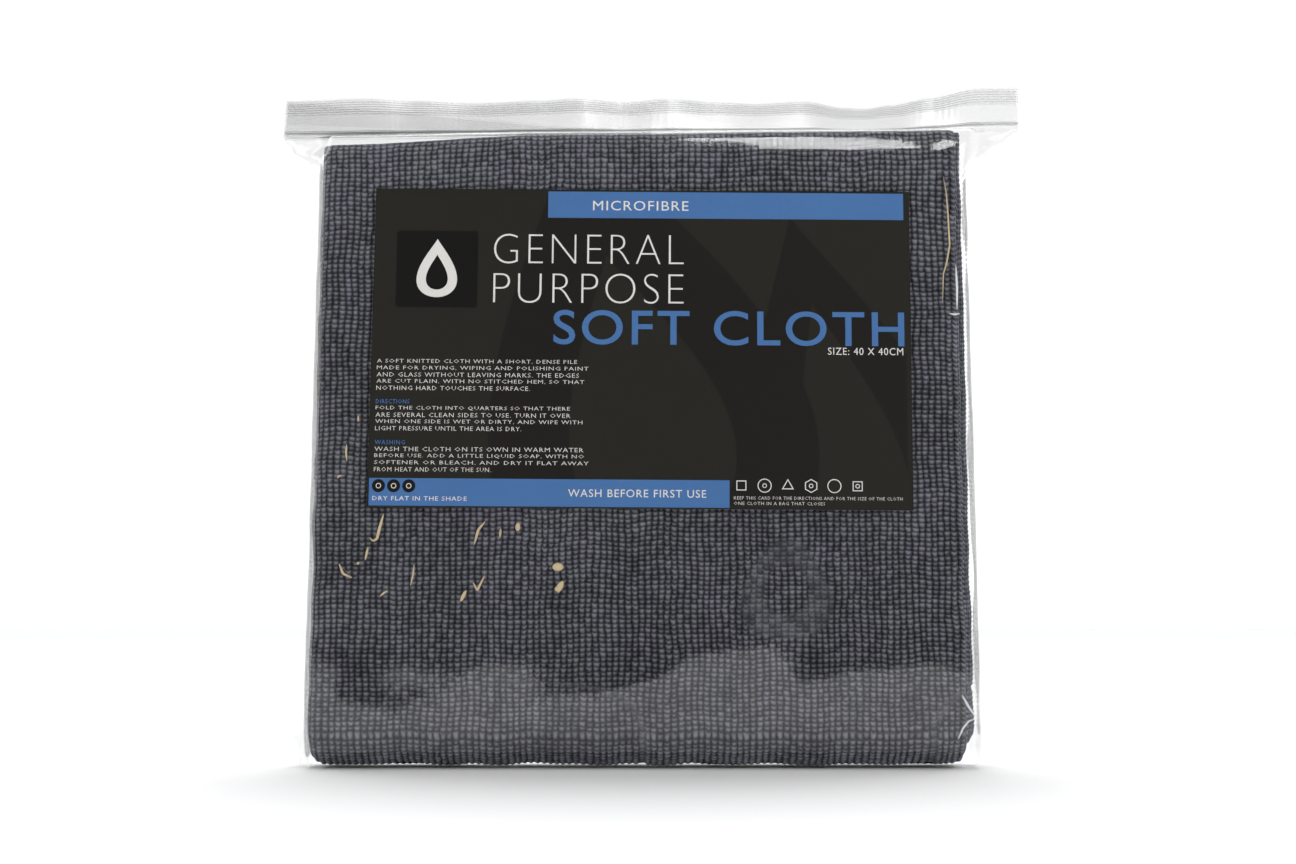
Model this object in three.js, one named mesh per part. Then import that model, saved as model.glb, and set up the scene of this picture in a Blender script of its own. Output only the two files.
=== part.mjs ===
import * as THREE from "three";

// A folded microfibre cloth in a clear press-to-close bag with a printed label.
// Millimetres, +Z up, X across the pack, the label on the -Y side, origin in the middle of the base.

// The cloth, folded twice
const clothWidth = 197;
const clothHeight = 187;
const clothThickness = 20;
const clothEdgeRadius = 9;

// The bag's film
const film = 0.4; // the real film is 0.05 thick
const frontGap = 0.6; // from the cloth to the front film
const sideGap = 0.6;
const baseGap = 0.4; // from the base film to the cloth
const joinGap = 0.1; // between two pieces of film that meet
const shoulderStart = 178; // height where the front and back films turn in over the cloth
const stripBottom = 193; // height where the zip strip begins

// The zip strip along the mouth
const bagWidth = 230; // the bag's flat width
const stripHeight = 13.5;
const lipGap = 1.8; // from the front lip to the back lip
const gripRibs = 6;
const gripRibPitch = 0.8;
const gripRibHeight = 0.25;
const gripRibsBelowTop = 0.7;
const zipAboveStripBottom = 2;
const grooveRadius = 0.75;
const grooveWall = 0.27;
const grooveMouth = 0.6; // half angle of the groove's mouth, in radians
const ribRadius = 0.3;
const ribStem = 0.1; // half the stem's thickness

// The label
const labelWidth = 162;
const labelHeight = 97;
const label = 0.25;
const labelMiddleX = -0.4;
const labelMiddleZ = 124.5;

// The side welds, with the bag's corners standing out as ears at the top and the base
const weld = 0.5;
const weldWidth = 2.2;
const baseEarWidth = 9;
const baseEarHeight = 13;
const topEarStart = 164;
const topEarRise = 4; // from the shoulder's start to where the top ear is full width
const baseEarBulge = 2; // how far the base ear's middle bulges past its ends, and they stop short

// Heights and places that follow from them
const frontInner = clothThickness / 2 + frontGap;
const frontOuter = frontInner + film;
const labelBack = frontOuter + joinGap;
const labelFace = labelBack + label;
const backInner = labelFace - film; // so that the pack is as deep behind its middle as in front
const sideInner = clothWidth / 2 + sideGap;
const sideOuter = sideInner + film;
const wallBottom = film + joinGap;
const wallTop = shoulderStart - joinGap;
const stripTop = stripBottom + stripHeight;
const lipInner = lipGap / 2;
const lipOuter = lipInner + film;
const zipHeight = stripBottom + zipAboveStripBottom;
const arcSteps = 8;

const filmLook = { color: 0xe9ebee, roughness: 0.18, transparent: true, opacity: 0.35 };
const weldLook = { color: 0xdfe2e6, roughness: 0.3, transparent: true, opacity: 0.5 };
const zipLook = { color: 0xf1f1f2, roughness: 0.25, transparent: true, opacity: 0.7 };
const clothLook = { color: 0x43464c, roughness: 0.95 };
const labelLook = { color: 0x27261f, roughness: 0.45 };

function piece(name, geometry, look) {
  const mesh = new THREE.Mesh(geometry, new THREE.MeshStandardMaterial(look));
  mesh.name = name;
  return mesh;
}

// A box from its lowest to its highest corner.
function boxBetween(low, high) {
  const geometry = new THREE.BoxGeometry(high[0] - low[0], high[1] - low[1], high[2] - low[2]);
  geometry.translate((low[0] + high[0]) / 2, (low[1] + high[1]) / 2, (low[2] + high[2]) / 2);
  return geometry;
}

// A closed outline in Y and Z, run along X with its middle at x = 0.
function alongX(outline, length) {
  const geometry = new THREE.ExtrudeGeometry(new THREE.Shape(outline), {
    depth: length,
    bevelEnabled: false,
  });
  const turned = new THREE.Matrix4().makeBasis(
    new THREE.Vector3(0, 1, 0),
    new THREE.Vector3(0, 0, 1),
    new THREE.Vector3(1, 0, 0),
  );
  geometry.applyMatrix4(turned);
  geometry.translate(-length / 2, 0, 0);
  return geometry;
}

// A shape in X and Z, made into a plate whose middle plane is y = 0.
function plateAcrossY(shape, thickness) {
  const geometry = new THREE.ExtrudeGeometry(shape, {
    depth: thickness,
    bevelEnabled: false,
    curveSegments: arcSteps,
  });
  geometry.rotateX(Math.PI / 2);
  geometry.translate(0, thickness / 2, 0);
  return geometry;
}

// Points of an arc in Y and Z.
function arc(middleY, middleZ, radius, from, to, steps = arcSteps) {
  return Array.from({ length: steps + 1 }, (_, i) => {
    const angle = from + ((to - from) * i) / steps;
    return new THREE.Vector2(middleY + radius * Math.cos(angle), middleZ + radius * Math.sin(angle));
  });
}

// Mirrors an outline to the other side of y = 0 and keeps it running the same way round.
function mirrored(outline) {
  return outline.map((p) => new THREE.Vector2(-p.x, p.y)).reverse();
}

function makeCloth() {
  const radius = clothEdgeRadius;
  const halfWidth = clothWidth / 2 - radius;
  const halfHeight = clothHeight / 2 - radius;
  const outline = new THREE.Shape();
  outline.moveTo(-halfWidth, -halfHeight);
  outline.lineTo(halfWidth, -halfHeight);
  outline.lineTo(halfWidth, halfHeight);
  outline.lineTo(-halfWidth, halfHeight);
  const depth = clothThickness - 2 * radius;
  const geometry = new THREE.ExtrudeGeometry(outline, {
    depth,
    bevelThickness: radius,
    bevelSize: radius,
    bevelSegments: 5,
  });
  geometry.translate(0, 0, -depth / 2);
  geometry.rotateX(Math.PI / 2);
  geometry.translate(0, 0, film + baseGap + clothHeight / 2);
  return piece("folded_cloth", geometry, clothLook);
}

// The angle, seen from the shoulder's centre, where film of this radius leaves the cloth for the strip.
function leavingAngle(radius, endY) {
  const rise = stripBottom - joinGap - shoulderStart;
  const towardsStrip = Math.atan2(rise, endY);
  return towardsStrip - Math.acos(radius / Math.hypot(rise, endY));
}

// The shoulder's section on the +Y side: round over the cloth's edge, then straight up to the strip.
function shoulderOutline(innerRadius, outerRadius) {
  const top = stripBottom - joinGap;
  const outer = arc(0, shoulderStart, outerRadius, 0, leavingAngle(outerRadius, lipOuter));
  const inner = arc(0, shoulderStart, innerRadius, leavingAngle(innerRadius, lipInner), 0);
  return [...outer, new THREE.Vector2(lipOuter, top), new THREE.Vector2(lipInner, top), ...inner];
}

// A lip's section on the +Y side, with fine grip ribs on its outer face below the top edge.
function lipOutline() {
  const outline = [
    new THREE.Vector2(lipInner, stripTop),
    new THREE.Vector2(lipInner, stripBottom),
    new THREE.Vector2(lipOuter, stripBottom),
  ];
  for (let i = gripRibs - 1; i >= 0; i--) {
    const middle = stripTop - gripRibsBelowTop - i * gripRibPitch;
    outline.push(new THREE.Vector2(lipOuter, middle - gripRibHeight));
    outline.push(new THREE.Vector2(lipOuter + gripRibHeight, middle));
    outline.push(new THREE.Vector2(lipOuter, middle + gripRibHeight));
  }
  outline.push(new THREE.Vector2(lipOuter, stripTop));
  return outline;
}

// The rib: a round head on a stem that stands on the front lip.
function ribOutline() {
  const neck = Math.asin(ribStem / ribRadius);
  const head = arc(0, zipHeight, ribRadius, Math.PI + neck, 3 * Math.PI - neck, 2 * arcSteps);
  const foot = -lipInner + joinGap;
  return [
    ...head,
    new THREE.Vector2(foot, zipHeight + ribStem),
    new THREE.Vector2(foot, zipHeight - ribStem),
  ];
}

// The groove: a C that the rib's head presses into, open to the front.
function grooveOutline() {
  const from = Math.PI + grooveMouth;
  const to = 3 * Math.PI - grooveMouth;
  const outer = arc(0, zipHeight, grooveRadius, from, to, 2 * arcSteps);
  const inner = arc(0, zipHeight, grooveRadius - grooveWall, to, from, 2 * arcSteps);
  return [...outer, ...inner];
}

// A side weld from the base ear up to the top ear. side is 1 for the right and -1 for the left.
function weldShape(side) {
  const inner = sideOuter + joinGap;
  const outer = inner + weldWidth;
  const earEnd = inner + baseEarWidth - baseEarBulge;
  const earMiddle = inner + baseEarWidth + baseEarBulge;
  const shape = new THREE.Shape();
  shape.moveTo(side * inner, wallBottom);
  shape.lineTo(side * earEnd, wallBottom);
  shape.quadraticCurveTo(
    side * earMiddle,
    wallBottom + baseEarHeight / 2,
    side * earEnd,
    wallBottom + baseEarHeight,
  );
  shape.quadraticCurveTo(
    side * outer,
    wallBottom + baseEarHeight,
    side * outer,
    wallBottom + 2 * baseEarHeight,
  );
  shape.lineTo(side * outer, topEarStart);
  shape.quadraticCurveTo(
    side * outer,
    shoulderStart,
    side * (bagWidth / 2),
    shoulderStart + topEarRise,
  );
  shape.lineTo(side * (bagWidth / 2), stripBottom - joinGap);
  shape.lineTo(side * inner, stripBottom - joinGap);
  return shape;
}

const front = (y) => -y;
const pack = new THREE.Group();

const frontWall = boxBetween(
  [-sideOuter, front(frontOuter), wallBottom],
  [sideOuter, front(frontInner), wallTop],
);
pack.add(piece("front_wall", frontWall, filmLook));

const backWall = boxBetween(
  [-sideOuter, backInner, wallBottom],
  [sideOuter, backInner + film, wallTop],
);
pack.add(piece("back_wall", backWall, filmLook));

const baseFold = boxBetween(
  [-sideOuter, front(frontOuter), 0],
  [sideOuter, backInner + film, film],
);
pack.add(piece("base_fold", baseFold, filmLook));

for (const [name, side] of [["left", -1], ["right", 1]]) {
  const near = Math.min(side * sideInner, side * sideOuter);
  const wall = boxBetween(
    [near, front(frontInner - joinGap), wallBottom],
    [near + film, backInner - joinGap, wallTop],
  );
  pack.add(piece(`${name}_side_wall`, wall, filmLook));
  pack.add(piece(`${name}_side_weld`, plateAcrossY(weldShape(side), weld), weldLook));
}

const labelSheet = boxBetween(
  [labelMiddleX - labelWidth / 2, front(labelFace), labelMiddleZ - labelHeight / 2],
  [labelMiddleX + labelWidth / 2, front(labelBack), labelMiddleZ + labelHeight / 2],
);
pack.add(piece("label", labelSheet, labelLook));

pack.add(makeCloth());

const frontShoulder = mirrored(shoulderOutline(frontInner, frontOuter));
pack.add(piece("front_shoulder", alongX(frontShoulder, 2 * sideOuter), filmLook));
const backShoulder = shoulderOutline(backInner, backInner + film);
pack.add(piece("back_shoulder", alongX(backShoulder, 2 * sideOuter), filmLook));

pack.add(piece("front_lip", alongX(mirrored(lipOutline()), bagWidth), zipLook));
pack.add(piece("back_lip", alongX(lipOutline(), bagWidth), zipLook));
pack.add(piece("zip_rib", alongX(ribOutline(), bagWidth), zipLook));
pack.add(piece("zip_groove", alongX(grooveOutline(), bagWidth), zipLook));

export default pack;
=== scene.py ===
import math

import bmesh
import bpy
from mathutils import Matrix, Vector, noise
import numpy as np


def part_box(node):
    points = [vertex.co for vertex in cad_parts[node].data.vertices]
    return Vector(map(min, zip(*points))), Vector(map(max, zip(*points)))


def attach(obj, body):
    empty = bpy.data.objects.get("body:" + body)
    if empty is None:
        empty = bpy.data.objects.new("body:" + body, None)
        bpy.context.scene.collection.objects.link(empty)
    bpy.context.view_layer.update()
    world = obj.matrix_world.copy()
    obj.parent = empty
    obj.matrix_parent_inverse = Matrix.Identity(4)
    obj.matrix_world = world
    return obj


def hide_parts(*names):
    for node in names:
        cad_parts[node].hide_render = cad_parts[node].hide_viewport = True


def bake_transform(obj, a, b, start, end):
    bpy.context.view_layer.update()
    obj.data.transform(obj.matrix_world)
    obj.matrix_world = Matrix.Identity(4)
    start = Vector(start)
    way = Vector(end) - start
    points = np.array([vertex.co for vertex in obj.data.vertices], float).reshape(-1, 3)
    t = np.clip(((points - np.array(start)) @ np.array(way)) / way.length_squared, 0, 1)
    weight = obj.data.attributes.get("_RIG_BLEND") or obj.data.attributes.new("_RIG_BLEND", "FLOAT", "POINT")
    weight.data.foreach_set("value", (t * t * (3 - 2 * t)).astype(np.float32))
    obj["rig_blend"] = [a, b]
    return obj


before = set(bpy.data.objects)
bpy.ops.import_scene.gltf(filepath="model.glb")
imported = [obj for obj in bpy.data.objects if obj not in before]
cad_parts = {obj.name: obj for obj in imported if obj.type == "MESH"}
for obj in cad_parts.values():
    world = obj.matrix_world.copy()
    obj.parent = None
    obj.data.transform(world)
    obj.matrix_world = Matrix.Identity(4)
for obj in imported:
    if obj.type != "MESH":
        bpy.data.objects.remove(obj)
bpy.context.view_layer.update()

perMetre = 1000  # sizes below are in millimetres, and a finished mesh is in metres


def nodeBox(node):
    low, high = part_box(node)
    return low * perMetre, high * perMetre


clothLow, clothHigh = nodeBox("folded_cloth")
wallLow, wallHigh = nodeBox("front_wall")
shoulderLow = nodeBox("front_shoulder")[0]
lipLow, lipHigh = nodeBox("front_lip")
labelLow, labelHigh = nodeBox("label")
backHigh = nodeBox("back_wall")[1]
grooveLow, grooveHigh = nodeBox("zip_groove")


# ---- shapes that several pieces share

bag = {
    "cornerRadius": 3.0,   # upright corners of the film
    "baseRadius": 10.5,    # how far up the base's rounding reaches
    "baseSquareness": 3.0, # 2 is a round base, more is squarer
    "baseTaper": 0.006,    # how much narrower the base is, as a share
    "bigWave": 0.45,
    "smallWave": 0.08,
    "calmOverLabel": 0.85, # how much flatter the front is held by the label
}
mouth = {
    # (x, height) points: how far the cloth's top and the mouth stand above their level places
    "clothRise": [(-99, 1.9), (-20, 5.4), (99, 6.8)],
    "filmRise": [(-115, -0.3), (-20, 1.0), (60, 1.8), (115, 2.7)],
    # (x, depth) points: how far the top edge leans back
    "leanBack": [
        (-115, 3.1), (-90, 1.5), (-73, 3.5), (-54, 5.2), (-35, 4.2), (-23, 3.2), (-8, 5.1), (6, 3.7),
        (19, 5.3), (34, 6.1), (48, 5.5), (62, 7.7), (68, 7.9), (77, 6.9), (89, 4.6), (103, 0.0), (115, 0.2),
    ],
    "skew": 2.6,           # how far the mouth sits to the right of the cloth
    "stillPast": 99.4,     # the mouth stays welded outside this
    "opensWithin": 97.6,   # and opens fully inside this
}


def ease(value, start, end):
    share = min(max((value - start) / (end - start), 0), 1)
    return share * share * (3 - 2 * share)


def through(points, x):  # a smooth line through a few given points
    for (x0, a), (x1, b) in zip(points, points[1:]):
        if x <= x1:
            return a + (b - a) * ease(x, x0, x1)
    return points[-1][1]


def wave(x, z, seed):  # slow swells of the film's flat sides, fading out at its edges
    big = noise.noise(Vector((x / 36, z / 44, seed)))
    small = noise.noise(Vector((x / 13, z / 17, seed + 5)))
    fade = ease(wallHigh.x - abs(x), 0, 16) * ease(z, 8, 26) * ease(wallHigh.z - z, 0, 14)
    return (bag["bigWave"] * big + bag["smallWave"] * small) * fade


def frontSwell(x, z):  # the front's swells, which the label holds flatter
    inside = min(x - labelLow.x, labelHigh.x - x, z - labelLow.z, labelHigh.z - z)
    return wave(x, z, 3.7) * (1 - bag["calmOverLabel"] * ease(inside, -6, 6))


def frontFilm(x, z):  # the front film's depth, which the label follows
    return wallLow.y + 0.15 - frontSwell(x, z)


def mouthPlace(x, y, z):  # lifts and leans a level point of the mouth into its real, wavy place
    z += through(mouth["filmRise"], x) * ease(z, wallHigh.z - 4, lipLow.z)
    share = min(max((z - lipLow.z) / (lipHigh.z - lipLow.z), 0), 1.1)
    height = lipHigh.z - lipLow.z
    lean = through(mouth["leanBack"], x)
    drop = height - math.sqrt(height ** 2 - lean ** 2)
    x += mouth["skew"] * ease(z, wallHigh.z, lipLow.z)
    return Vector((x, y + lean * share, z - drop * share))


# ---- mesh helpers

def meshPiece(name, bm, materials, smooth=True):
    bmesh.ops.scale(bm, vec=(1 / perMetre,) * 3, verts=bm.verts)
    mesh = bpy.data.meshes.new(name)
    bm.to_mesh(mesh)
    bm.free()
    for material in materials:
        mesh.materials.append(material)
    for face in mesh.polygons:
        face.use_smooth = smooth
    piece = bpy.data.objects.new(name, mesh)
    bpy.context.scene.collection.objects.link(piece)
    return piece


def gridOf(columns, rows, pattern=None, value=None):
    # A flat grid, with the column and row that each of its points stands on
    bm = bmesh.new()
    if pattern:
        bm.loops.layers.uv.new(pattern)
    if value:
        bm.verts.layers.float.new(value)
    bmesh.ops.create_grid(bm, x_segments=columns, y_segments=rows, size=0.5)
    places = []
    for vert in bm.verts:
        column = round((vert.co.x + 0.5) * columns)
        row = round((vert.co.y + 0.5) * rows)
        places.append((vert, column, row))
    return bm, places


def patternMap(bm, layerName, places, patternAt):
    layer = bm.loops.layers.uv[layerName]
    at = {vert: patternAt(column, row) for vert, column, row in places}
    for face in bm.faces:
        for loop in face.loops:
            loop[layer].uv = at[loop.vert]


def closeTube(bm, gap=0.002):  # joins the two long edges of a rolled grid and caps its ends
    bmesh.ops.remove_doubles(bm, verts=bm.verts, dist=gap)
    ends = [edge for edge in bm.edges if edge.is_boundary]
    if ends:
        bmesh.ops.triangle_fill(bm, use_beauty=True, edges=ends)
    bmesh.ops.recalc_face_normals(bm, faces=bm.faces)


def thicken(piece, thickness, rimMaterial=0):
    bm = bmesh.new()
    bm.from_mesh(piece.data)
    for edge in bm.edges:
        edge.smooth = not edge.is_boundary
    bm.to_mesh(piece.data)
    bm.free()
    wall = piece.modifiers.new("thickness", "SOLIDIFY")
    wall.thickness = thickness / perMetre
    wall.offset = -1
    wall.use_even_offset = False
    wall.material_offset_rim = rimMaterial
    return piece


def rideOn(piece, body, replaced=()):
    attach(piece, body)
    if replaced:
        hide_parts(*replaced)
    return piece


def steps(start, end, count):
    return [start + (end - start) * i / count for i in range(count + 1)]


# ---- material helpers

class Shader:
    def __init__(self, name):
        self.material = bpy.data.materials.new(name)
        self.material.use_nodes = True
        self.tree = self.material.node_tree
        self.tree.nodes.clear()
        self.out = self.tree.nodes.new("ShaderNodeOutputMaterial")

    def node(self, kind, **sockets):
        made = self.tree.nodes.new("ShaderNode" + kind)
        for name, value in sockets.items():
            socket = made.inputs[name.replace("_", " ")]
            self.put(value, socket)
        return made

    def put(self, value, socket):
        if isinstance(value, bpy.types.NodeSocket):
            self.tree.links.new(value, socket)
        else:
            socket.default_value = value

    def math(self, operation, *values):
        made = self.tree.nodes.new("ShaderNodeMath")
        made.operation = operation
        for value, socket in zip(values, made.inputs):
            self.put(value, socket)
        return made.outputs[0]

    def ramp(self, value, *stops):
        made = self.tree.nodes.new("ShaderNodeValToRGB")
        self.put(value, made.inputs[0])
        elements = made.color_ramp.elements
        for i, (place, color) in enumerate(stops):
            element = elements[i] if i < len(elements) else elements.new(place)
            element.position = place
            element.color = (*color, 1)
        return made.outputs[0]

    def noise(self, scale, detail=2.0, stretch=(1, 1, 1)):
        coordinates = self.tree.nodes.new("ShaderNodeTexCoord")
        mapping = self.node("Mapping", Vector=coordinates.outputs["Object"], Scale=stretch)
        made = self.node("TexNoise", Vector=mapping.outputs[0], Scale=scale, Detail=detail)
        return made.outputs["Fac"]

    def bump(self, height, distance, strength=1.0):
        made = self.node("Bump", Height=height, Distance=distance / perMetre, Strength=strength)
        return made.outputs[0]

    def mix(self, share, first, second):
        made = self.node("MixShader")
        for value, socket in zip((share, first, second), made.inputs):
            self.put(value, socket)
        return made.outputs[0]

    def finish(self, surface):
        self.tree.links.new(surface, self.out.inputs["Surface"])
        return self.material


def grey(level):
    return (level, level, level)


# ---- the cloth: one towel folded twice, drawn as its front and back pair of layers

cloth = {
    "waleWidth": 1.92,     # the knit's upright columns
    "courseHeight": 1.42,  # and its rows
    "relief": 0.48,
    "stitchDip": 0.3,      # how high the knit stands between two stitches, a share of their height
    "grooveDepth": 0.55,
    "filmGap": 0.15,       # from the walls of its plain block
    "baseGap": 0.4,
    "layerGap": 0.2,
    "cutGap": 0.1,
    "cutTurns": 6,         # steps round a cut edge
    "baseRise": 0.3,       # how far the base's middle stays above a full rounding
    "frontFoldX": -98.7,
    "backFoldX": -98.9,
    "outerCutX": 95.6,
    "innerCutX": 98.3,
    "topRounding": 10.0,   # the layers thin out over this height below the top
    "wander": 0.75,
    "swell": 0.3,
    "cornerLift": 0.9,     # the right end's bottom corner hangs this far above the base
}
teardrop = {  # the ring pressed into the front
    "middle": (42.5, 52.5),
    "width": 26.0,
    "height": 30.0,
    "outerEdge": (0.26, 0.22),
    "innerEdge": (0.05, 0.08),
    "pressedIn": 0.45,
    "evenness": 0.8,
    "flatness": 0.7,
}


def clothLoop(foldX):
    # One pair of layers in plan: (x, depth, outward x, outward depth, knit column, showing)
    half = (clothHigh.y - clothLow.y) / 2 - cloth["filmGap"]
    inside = cloth["layerGap"] / 2
    middle = half / 2
    wale = cloth["waleWidth"]
    foldRadius = (half - inside) / 2
    cutRadius = (middle - inside) / 2 - cloth["cutGap"]
    turnCount = cloth["cutTurns"]
    loop = []
    right, left = cloth["outerCutX"] - cutRadius, foldX + foldRadius
    count = 2 * round((right - left) / wale)
    for i in range(count + 1):
        x = right - (right - left) * i / count
        loop.append((x, half, 0, 1, -i / 2, 1))
    turns = 2 * round(math.pi * foldRadius / wale)
    for i in range(1, turns):
        angle = math.pi * i / turns
        outX, outD = -math.sin(angle), math.cos(angle)
        loop.append((left + foldRadius * outX, inside + foldRadius * (1 + outD), outX, outD,
                     -(count + i) / 2, max(outD, 0)))
    innerRight = cloth["innerCutX"] - cutRadius
    for x in steps(left, innerRight, 14):
        loop.append((x, inside, 0, -1, x / wale, 0))
    for i in range(1, turnCount):
        angle = math.pi * i / turnCount
        outX, outD = math.sin(angle), -math.cos(angle)
        loop.append((innerRight + cutRadius * outX, inside + cutRadius * (1 + outD), outX, outD,
                     x / wale + i / 2, 1))
    # the slit between the two layers, to the left and back
    slitLow, slitHigh = inside + 2 * cutRadius, half - 2 * cutRadius
    for x in steps(innerRight, left + 2, 12):
        loop.append((x, slitLow, 0, 1, x / wale, 0))
    for x in steps(left + 1, right, 12):
        loop.append((x, slitHigh, 0, -1, x / wale, 0))
    for i in range(1, turnCount):
        angle = math.pi * i / turnCount
        outX, outD = math.sin(angle), -math.cos(angle)
        loop.append((right + cutRadius * outX, slitHigh + cutRadius * (1 + outD), outX, outD,
                     3 - i / 2, 1))
    loop.append(loop[0])
    return loop


def clothPath():
    # Places down one side of the cloth and round half of its base: (height, base angle)
    course = cloth["courseHeight"] / 2
    baseMiddle = bag["baseRadius"] + cloth["baseGap"]
    count = round((clothHigh.z - baseMiddle) / course)
    path = [(z, 0) for z in steps(clothHigh.z, baseMiddle, count)]
    turns = 2 * round(math.pi / 2 * bag["baseRadius"] / cloth["courseHeight"])
    path += [(baseMiddle, math.pi / 2 * i / turns) for i in range(1, turns + 1)]
    return path


def pressedAt(x, z):  # 1 where the teardrop ring is pressed in, and 0 away from it
    dx = (x - teardrop["middle"][0]) / teardrop["width"]
    dz = (z - teardrop["middle"][1]) / teardrop["height"]
    reach = dx * dx * (1 + 1.2 * dz) + dz * dz
    return ease(reach, *teardrop["outerEdge"]) * ease(reach, *teardrop["innerEdge"])


def makeCloth(name, side, foldX, seed, material, replaced=()):
    loop = clothLoop(foldX)
    path = clothPath()
    half = (clothHigh.y - clothLow.y) / 2
    squareness = 2 / bag["baseSquareness"]
    columnShift = {}
    bm, places = gridOf(len(loop) - 1, len(path) - 1, "knit", "pressed")

    def pattern(column, row):
        return (loop[column][4] if column < len(loop) - 1 else loop[0][4], row / 2)

    patternMap(bm, "knit", places, pattern)
    smoothness = bm.verts.layers.float["pressed"]
    for vert, column, row in places:
        x, depth, outX, outD, wale, showing = loop[column]
        z, angle = path[row]
        crest = abs(math.sin(math.pi * wale))
        shift = columnShift.setdefault(round(wale), noise.noise(Vector((wale * 7.3, seed, 1.5))))
        stitch = 0.5 + 0.5 * math.cos(math.pi * row)
        pressed = pressedAt(x, z) if side < 0 else 0
        vert[smoothness] = pressed * showing
        tall = cloth["stitchDip"] + (1 - cloth["stitchDip"]) * stitch
        tall = tall * (1 - pressed) + teardrop["evenness"] * pressed
        relief = cloth["relief"] * (crest * tall - cloth["grooveDepth"])
        relief *= 1 - teardrop["flatness"] * pressed
        relief = showing * (relief - teardrop["pressedIn"] * pressed)
        relief += showing * cloth["swell"] * noise.noise(Vector((x / 31, z / 38, seed)))
        depth += relief * outD
        x += relief * outX
        if showing:
            x += cloth["wander"] * noise.noise(Vector((x / 9, z / 13, seed + 2)))
            z += crest * shift * cloth["courseHeight"] * 0.25 * ease(z, 12, 16)
            z += cloth["wander"] * noise.noise(Vector((x / 11, z / 23, seed + 4)))
        thin = min(max(z - clothHigh.z + cloth["topRounding"], 0) / cloth["topRounding"], 1)
        depth *= max(1 - thin ** 3, 0.002) ** (1 / 3)
        along = max(math.cos(angle), 0) ** squareness
        down = math.sin(angle) ** squareness
        y = side * depth * along
        z -= down * (bag["baseRadius"] - cloth["baseRise"]) * depth / half
        x *= 1 - bag["baseTaper"] * down
        z += cloth["cornerLift"] * ease(x, 84, 98) * ease(26 - z, 0, 26)
        z += through(mouth["clothRise"], x) * ease(z, 140, clothHigh.z)
        vert.co = (x, y, z)
    closeTube(bm)
    piece = meshPiece(name, bm, [material])
    rideOn(piece, "cloth", replaced)
    return piece


yarn = {
    # the darkest stop paints shade into the hollows between stitches, the lightest paints a highlight on
    # their crests
    "groove": (0.005, 0.005, 0.006),
    "stitch": (0.072, 0.0745, 0.087),
    "paintedCrestHighlight": (0.28, 0.29, 0.33),
    "warmTint": (1.03, 0.975, 1.04),
    "coolTint": (0.99, 1.01, 0.98),
    "paintedTopLightAbove": 0.145,    # metres: painted light makes the yarn paler above this height
    "paintedTopLightGain": 1.9,
    "bumpDepth": 0.6,
}


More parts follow.
